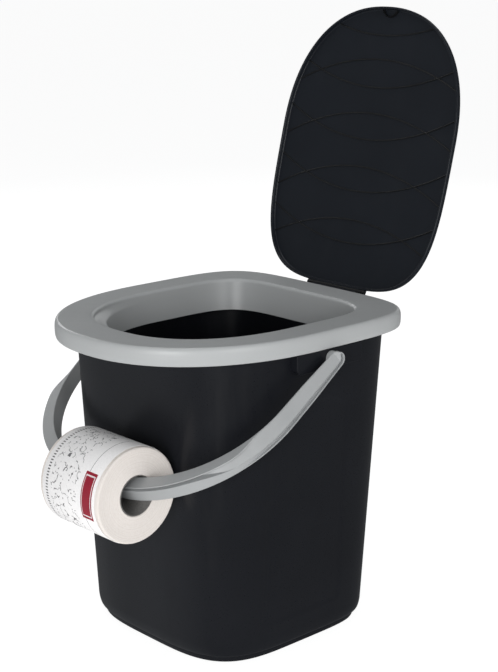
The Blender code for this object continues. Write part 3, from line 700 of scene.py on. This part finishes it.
def inside_lid(line, inset):
    """The points of a line that lie within the lid's outline."""
    edge = lid_outline(inset, 720)
    turns = np.arctan2(edge[:, 1] - LID_CENTRE_Y, edge[:, 0])
    reaches = np.hypot(edge[:, 0], edge[:, 1] - LID_CENTRE_Y)
    order = np.argsort(turns)
    kept = []
    for x, y in line:
        limit = np.interp(math.atan2(y - LID_CENTRE_Y, x), turns[order], reaches[order],
                          period=2 * math.pi)
        if math.hypot(x, y - LID_CENTRE_Y) < limit:
            kept.append((x, y))
    return np.array(kept)


def make_lid_ribs(face_z):
    """Two sets of crossing curved ribs on the underside, and a thumb recess at the front."""
    lines = []
    for count, first, pitch, bow in ((4, 0.089, 0.065, -RIB_BOW), (5, 0.061, 0.063, RIB_BOW)):
        for row in range(count):
            lines.append([(x, -(first + pitch * row + bow * (x / RIB_SPAN) ** 2)) for x in RIB_STEPS])
    strips = [(line, RIB_HALF, RIB_HEIGHT) for line in lines]
    recess = [(0.004 + 0.012 * math.cos(t), -0.3475 + 0.0125 * math.sin(t))
              for t in np.radians(np.linspace(0, 180, 40))]
    strips.append((recess, RECESS_HALF, RECESS_HEIGHT))
    vertices, faces = [], []
    for line, half, height in strips:
        row = inside_lid(line, LID_WALL + 0.0004)
        along = np.gradient(row, axis=0)
        along /= np.linalg.norm(along, axis=1)[:, None]
        side = np.column_stack((-along[:, 1], along[:, 0]))
        section = ((-half, 0.0004), (-half * 0.7, -height * 0.7), (0.0, -height),
                   (half * 0.7, -height * 0.7), (half, 0.0004))
        start, width = len(vertices), len(section)
        for centre, across in zip(row, side):
            for offset, level in section:
                vertices.append((*(centre + across * offset), face_z + level))
        for k in range(len(row) - 1):
            for j in range(width):
                a, b = start + k * width + j, start + k * width + (j + 1) % width
                faces.append((a, b, b + width, a + width))
        last = start + (len(row) - 1) * width
        faces.append(tuple(start + j for j in range(width)))
        faces.append(tuple(last + width - 1 - j for j in range(width)))
    # the ribs and the recess take the darker bracket plastic: a painted shade that shows them as shadowed
    # grooves
    return mesh_object("lid_ribs", vertices, faces, BRACKET_AND_RIB_SHADE_MATERIAL)


def make_lid_lug(lip, top):
    """The lug from the lid's back lip down to the knuckle."""
    edge = LID_BACK_Y
    points = [(edge - 0.0012, top - 0.0005), (edge - 0.0012, lip), (edge + 0.001, lip),
              (-0.0052, 0.0055), (-0.0043, 0.0009), (0, 0), (0.0043, 0.0009), (0.0021, 0.0077),
              (-0.0029, top - 0.0013)]
    return prism("lid_lug", points, -LUG_HALF, LUG_HALF, LID_MATERIAL, 0.0005, 2)


def make_hinge_bar(lip, top):
    """The long bar along the lid's back lip, just above the hinge."""
    edge = LID_BACK_Y
    points = [(edge - 0.0010, top - 0.0030), (edge - 0.0010, lip + 0.0004),
              (edge + 0.0010, lip - 0.0012), (-0.0052, 0.0066), (-0.0036, 0.0074), (-0.0030, 0.0090),
              (-0.0034, 0.0120)]
    return prism("lid_hinge_bar", points, -HINGE_BAR_HALF, HINGE_BAR_HALF, BRACKET_AND_RIB_SHADE_MATERIAL, 0.0004, 2)


# ---------------------------------------------------------------- hinge
def make_hinge():
    """The bracket behind the seat: a plate, a hook under the edge, and a knuckle at each end."""
    front = HINGE_Y - 0.0055
    back = front + PLATE_THICKNESS
    plate_top = HINGE_Z - 0.0048
    hook_top = SEAT_BOTTOM - 0.0003
    hook_bottom = hook_top - PLATE_THICKNESS
    pieces = [box_piece("bracket_plate", (-BRACKET_HALF, front, hook_bottom),
                        (BRACKET_HALF, back, plate_top), BRACKET_AND_RIB_SHADE_MATERIAL, BRACKET_EDGE),
              box_piece("bracket_hook", (-BRACKET_HALF, front - HOOK_REACH, hook_bottom),
                        (BRACKET_HALF, back - 0.0004, hook_top), BRACKET_AND_RIB_SHADE_MATERIAL, BRACKET_EDGE)]
    for side in (-1, 1):
        low, high = sorted((side * BRACKET_HALF, side * BRACKET_INNER))
        pieces.append(rod_piece(f"bracket_knuckle_{tag(side)}", KNUCKLE_RADIUS, low, high,
                                HINGE_Y, HINGE_Z, BRACKET_AND_RIB_SHADE_MATERIAL))
        pieces.append(box_piece(f"bracket_neck_{tag(side)}", (low, front, plate_top - 0.0025),
                                (high, HINGE_Y + 0.0036, HINGE_Z), BRACKET_AND_RIB_SHADE_MATERIAL, BRACKET_EDGE))
    for piece in pieces:
        stand_for(piece, "hinge_bracket", "seat")
    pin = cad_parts["hinge_pin"]
    pin.data.materials.clear()
    pin.data.materials.append(STEEL_MATERIAL)


# ---------------------------------------------------------------- handle
def in_handle_plane(x, distance, normal):
    """A point at a distance from the pivots, and above or below the handle's plane."""
    y = PIVOT_Y - distance * math.cos(HANDLE_ANGLE) - normal * math.sin(HANDLE_ANGLE)
    z = PIVOT_Z - distance * math.sin(HANDLE_ANGLE) + normal * math.cos(HANDLE_ANGLE)
    return x, y, z


def bail_stations():
    """(x, distance, outward x, outward distance) along the inner line, right pivot to the middle."""
    corner = GRIP_REACH - CORNER_RADIUS
    centre_x = ARM_X - CORNER_RADIUS
    rows = [(ARM_X, -END_HALF * math.cos(math.radians(90 * k / 28)), 1, 0) for k in range(28)]
    rows += [(ARM_X, corner * k / 30, 1, 0) for k in range(31)]
    for k in range(1, 121):
        turn = math.radians(90 * k / 120)
        rows.append((centre_x + CORNER_RADIUS * math.cos(turn),
                     corner + CORNER_RADIUS * math.sin(turn), math.cos(turn), math.sin(turn)))
    rows += [(centre_x * (1 - k / 5), GRIP_REACH, 0, 1) for k in range(1, 6)]
    return rows


def smoothstep(value, low, high):
    share = min(max((value - low) / (high - low), 0), 1)
    return share * share * (3 - 2 * share)


def rounded(points, radius, steps=3):
    """A closed outline with each corner cut to a short curve."""
    result = []
    spots = [Vector(point) for point in points]
    for k, spot in enumerate(spots):
        to_last = spots[k - 1] - spot
        to_next = spots[(k + 1) % len(spots)] - spot
        cut = min(radius, 0.45 * to_last.length, 0.45 * to_next.length)
        start = spot + to_last.normalized() * cut
        end = spot + to_next.normalized() * cut
        for j in range(steps + 1):
            t = j / steps
            result.append(start * (1 - t) ** 2 + spot * 2 * t * (1 - t) + end * t ** 2)
    return result


def bail_section(distance):
    """The band's outline at one station as (normal, depth) points.

    Along the arms the outer face is a narrow groove and a strap that slants back to the upper edge.
    Round the corner the strap sinks behind a thin upper flange, and on the grip a filled lower
    band leaves a slot.
    """
    share = min(max(distance / GRIP_REACH, 0), 1)
    depth = ARM_DEPTH + (GRIP_DEPTH - ARM_DEPTH) * share
    if distance < 0:
        half = math.sqrt(max(END_HALF ** 2 - distance ** 2, 1e-8))
        inner = math.sqrt(max((END_HALF - ARM_RIM) ** 2 - distance ** 2, 0))
    else:
        half = END_HALF + (BAND_HALF - END_HALF) * min(distance / END_TAPER, 1)
        inner = half - ARM_RIM
    sunk = smoothstep(distance, *WEB_SINKS)
    filled = smoothstep(distance, *FILL_RISES)
    groove = ARM_GROOVE * (1 - sunk) * min(inner / GROOVE_FADE, 1)
    plateau = PLATEAU_EDGE
    if distance < 0:
        plateau += PLATEAU_RISE * min(-distance / PLATEAU_RUN, 1) ** 1.6
    plateau = max(min(plateau, inner), -inner)
    flange = max(half - THIN_FLANGE, plateau)
    deep = depth - WEB
    slot = min(plateau + PLATEAU_CHAMFER + (SLOT_EDGE - PLATEAU_EDGE) * filled, flange)
    upright = max(sunk, smoothstep(-distance, 0.0, FLANGE_RUN))

    def strap(normal, upright_depth):
        """Depth of the strap's slanting face, or of the upright flange that it turns into."""
        slant = (depth - STRAP_EDGE) * (normal - plateau) / max(half - plateau, 1e-5)
        return (depth - slant) * (1 - upright) + upright_depth * upright

    corners = [(-half, 0), (-half, depth), (-inner, depth), (-inner, depth - groove),
               (plateau, depth - groove), (plateau, depth), (slot, strap(slot, depth)),
               (slot, strap(slot, depth) - deep * filled), (flange, strap(flange, depth - deep * sunk)),
               (flange, strap(flange, depth)), (half, strap(half, depth)), (half, 0)]
    return rounded(corners, HANDLE_EDGE)


def make_handle():
    rows = bail_stations()
    rows = rows + [(-x, distance, -out_x, out_d) for x, distance, out_x, out_d in reversed(rows[:-1])]
    rings = [[in_handle_plane(x + out_x * depth, distance + out_d * depth, normal)
              for normal, depth in bail_section(distance)] for x, distance, out_x, out_d in rows]
    bail = loft("handle_bail", rings, HANDLE_MATERIAL, angle=45)
    weld = bail.modifiers.new("weld", "WELD")
    weld.merge_threshold = 0.000002
    bail.modifiers.new("normals", "WEIGHTED_NORMAL").keep_sharp = True
    stand_for(bail, "handle")
    for side in (-1, 1):
        for part, radius, end in (("collar", COLLAR_RADIUS, EAR_FACE_X + 0.0003),
                                  ("peg", PEG_RADIUS, EAR_FACE_X - PEG_LENGTH)):
            low, high = sorted((side * (ARM_X + WEB / 2), side * end))
            stand_for(rod_piece(f"handle_{part}_{tag(side)}", radius, low, high, PIVOT_Y, PIVOT_Z,
                                HANDLE_MATERIAL), "handle")


# ---------------------------------------------------------------- toilet roll
def turned(name, profile, material, steps=192):
    """A closed profile of (place along the axis, radius) points turned round the roll's axis."""
    vertices, faces = [], []
    count = len(profile)
    for k in range(steps):
        turn = 2 * math.pi * k / steps
        for along, radius in profile:
            vertices.append((along, radius * math.cos(turn), radius * math.sin(turn)))
    for k in range(steps):
        here, there = k * count, ((k + 1) % steps) * count
        for j in range(count):
            after = (j + 1) % count
            faces.append((here + j, here + after, there + after, there + j))
    item = mesh_object(name, vertices, faces, material)
    item.location = ROLL_AXIS
    return item


def make_roll():
    inner = CORE_OUTER + 0.0003
    profile = []
    for k in range(9):
        turn = math.radians(90 * k / 8)
        profile.append((ROLL_HALF - ROLL_EDGE * (1 - math.sin(turn)),
                        ROLL_RADIUS - ROLL_EDGE * (1 - math.cos(turn))))
    for share in np.linspace(0, 1, 10)[1:-1]:
        dish = ROLL_DISH * math.sin(math.pi * share)
        profile.append((ROLL_HALF - dish,
                        ROLL_RADIUS - ROLL_EDGE + (inner + ROLL_EDGE - ROLL_RADIUS) * share))
    profile += [(ROLL_HALF, inner + 0.0006), (ROLL_HALF - 0.0006, inner)]
    profile += [(-along, radius) for along, radius in reversed(profile)]
    stand_for(turned("wound_paper", profile, PAPER_MATERIAL), "paper_roll", "toilet_roll")

    profile = [(ROLL_HALF - 0.0004, CORE_OUTER), (ROLL_HALF, CORE_OUTER - 0.0003),
               (ROLL_HALF, CORE_INNER + 0.0003), (ROLL_HALF - 0.0004, CORE_INNER)]
    profile += [(-along, radius) for along, radius in reversed(profile)]
    stand_for(turned("core_tube", profile, CARD_PAINTED_SHADE_MATERIAL), "roll_core", "toilet_roll")

    low, high = ROLL_RADIUS + 0.0002, ROLL_RADIUS + 0.0006
    profile = [(SLEEVE_HALF, low), (SLEEVE_HALF, high - 0.0001), (SLEEVE_HALF - 0.0002, high)]
    profile += [(-along, radius) for along, radius in reversed(profile)]
    stand_for(turned("printed_sleeve", profile, SLEEVE_MATERIAL), "roll_wrapper", "toilet_roll")

    for name, ends, turns, lift, material in (
            ("sleeve_label", (0.0222, 0.0406), (-20, 36), 0.00012, LABEL_MATERIAL),
            ("sleeve_label_border", (0.0238, 0.0390), (-16.6, 32.6), 0.00022, BORDER_MATERIAL),
            ("sleeve_label_middle", (0.0248, 0.0380), (-14.8, 30.8), 0.00032, LABEL_MATERIAL)):
        stand_for(label_piece(name, high, ends, turns, lift, material), "roll_wrapper", "toilet_roll")


def label_piece(name, radius, ends, turns, lift, material):
    """A curved rectangle on the sleeve, between two places along it and two angles in degrees."""
    rows, columns = 56, 12
    vertices, faces = [], []
    for turn in np.radians(np.linspace(*turns, rows + 1)):
        for level in (0.00002, lift):
            for along in np.linspace(*ends, columns + 1):
                vertices.append((along, -(radius + level) * math.cos(turn),
                                 (radius + level) * math.sin(turn)))
    width = columns + 1
    layer = 2 * width
    for k in range(rows):
        for j in range(columns):
            a = k * layer + j
            faces.append((a, a + 1, a + layer + 1, a + layer))
            faces.append((a + width, a + width + layer, a + width + layer + 1, a + width + 1))
        for j in (0, columns):
            a = k * layer + j
            faces.append((a, a + layer, a + layer + width, a + width))
    for k in (0, rows):
        for j in range(columns):
            a = k * layer + j
            faces.append((a, a + width, a + width + 1, a + 1))
    label = mesh_object(name, vertices, faces, material)
    label.location = ROLL_AXIS
    return label


# ---------------------------------------------------------------- stage, light and camera
def area_light(name, place, target, size, power):
    light = bpy.data.lights.new(name, "AREA")
    light.shape = "RECTANGLE"
    light.size, light.size_y = size
    light.energy = power
    item = bpy.data.objects.new(name, light)
    SCENE.collection.objects.link(item)
    item.location = place
    item.rotation_euler = (Vector(target) - Vector(place)).to_track_quat("-Z", "Y").to_euler()


def make_stage():
    """A wide pale floor that glows a little, so that it stays as light as the photo's background."""
    shader = Shader("pale_floor")
    shader.bsdf.inputs["Roughness"].default_value = 0.9
    shader.bsdf.inputs["Specular IOR Level"].default_value = 0.1
    cloud = shader.noise(0.6, 2.0)
    shader.drive("Base Color", shader.blend(cloud, (0.24, 0.24, 0.24, 1), (0.26, 0.26, 0.26, 1)))
    shader.bsdf.inputs["Emission Color"].default_value = WHITE
    shader.bsdf.inputs["Emission Strength"].default_value = 0.92
    bm = bmesh.new()
    bmesh.ops.create_circle(bm, cap_ends=True, segments=96, radius=60.0)
    mesh = bpy.data.meshes.new("floor")
    bm.to_mesh(mesh)
    bm.free()
    mesh.materials.append(shader.material)
    floor = bpy.data.objects.new("floor", mesh)
    floor.location.z = -0.0002
    floor.visible_glossy = False
    SCENE.collection.objects.link(floor)
    make_world()


def make_world():
    """A pale room that lights the object from the front left, and is white to the camera."""
    world = bpy.data.worlds.new("studio")
    world.use_nodes = True
    tree = world.node_tree
    nodes, links = tree.nodes, tree.links
    place = nodes.new("ShaderNodeTexCoord")
    towards = nodes.new("ShaderNodeVectorMath")
    towards.operation = "DOT_PRODUCT"
    towards.inputs[1].default_value = Vector(WORLD_BRIGHT_SIDE).normalized()
    links.new(place.outputs["Generated"], towards.inputs[0])
    glow = nodes.new("ShaderNodeMapRange")
    glow.interpolation_type = "SMOOTHSTEP"
    for key, value in enumerate((*WORLD_SPREAD, *WORLD_LEVELS), start=1):
        glow.inputs[key].default_value = value
    links.new(towards.outputs["Value"], glow.inputs[0])
    room = nodes["Background"]
    room.inputs[0].default_value = WORLD_COLOUR
    links.new(glow.outputs[0], room.inputs[1])
    sky = nodes.new("ShaderNodeBackground")
    sky.inputs[0].default_value = WHITE
    path = nodes.new("ShaderNodeLightPath")
    mix = nodes.new("ShaderNodeMixShader")
    links.new(path.outputs["Is Camera Ray"], mix.inputs[0])
    links.new(room.outputs[0], mix.inputs[1])
    links.new(sky.outputs[0], mix.inputs[2])
    links.new(mix.outputs[0], nodes["World Output"].inputs[0])
    SCENE.world = world


def make_lights():
    aim = (0.0, -0.02, 0.30)
    area_light("key", (1.5, -2.6, 0.75), aim, (1.5, 1.1), 45)
    area_light("right", (2.7, -0.3, 0.9), aim, (1.2, 1.2), 20)
    area_light("left", (-2.6, 0.6, 1.5), aim, (1.2, 1.2), 14)
    area_light("top", (-0.2, 0.0, 2.8), aim, (1.6, 1.6), 17)
    area_light("back", (-1.4, 2.8, 1.3), aim, (1.6, 1.2), 7)


def make_camera():
    data = bpy.data.cameras.new("camera")
    data.lens = 82.0
    data.sensor_width = 36.0
    data.clip_end = 200.0
    camera = bpy.data.objects.new("camera", data)
    SCENE.collection.objects.link(camera)
    camera.location = (1.2589, -1.1298, 0.7729)
    target = Vector((0.0436, -0.0014, 0.3443))
    camera.rotation_euler = (target - camera.location).to_track_quat("-Z", "Y").to_euler()
    SCENE.camera = camera


make_camera()
make_bucket()
make_seat()
make_lid()
make_hinge()
make_handle()
make_roll()
make_stage()
make_lights()
SCENE.view_settings.view_transform = "Standard"
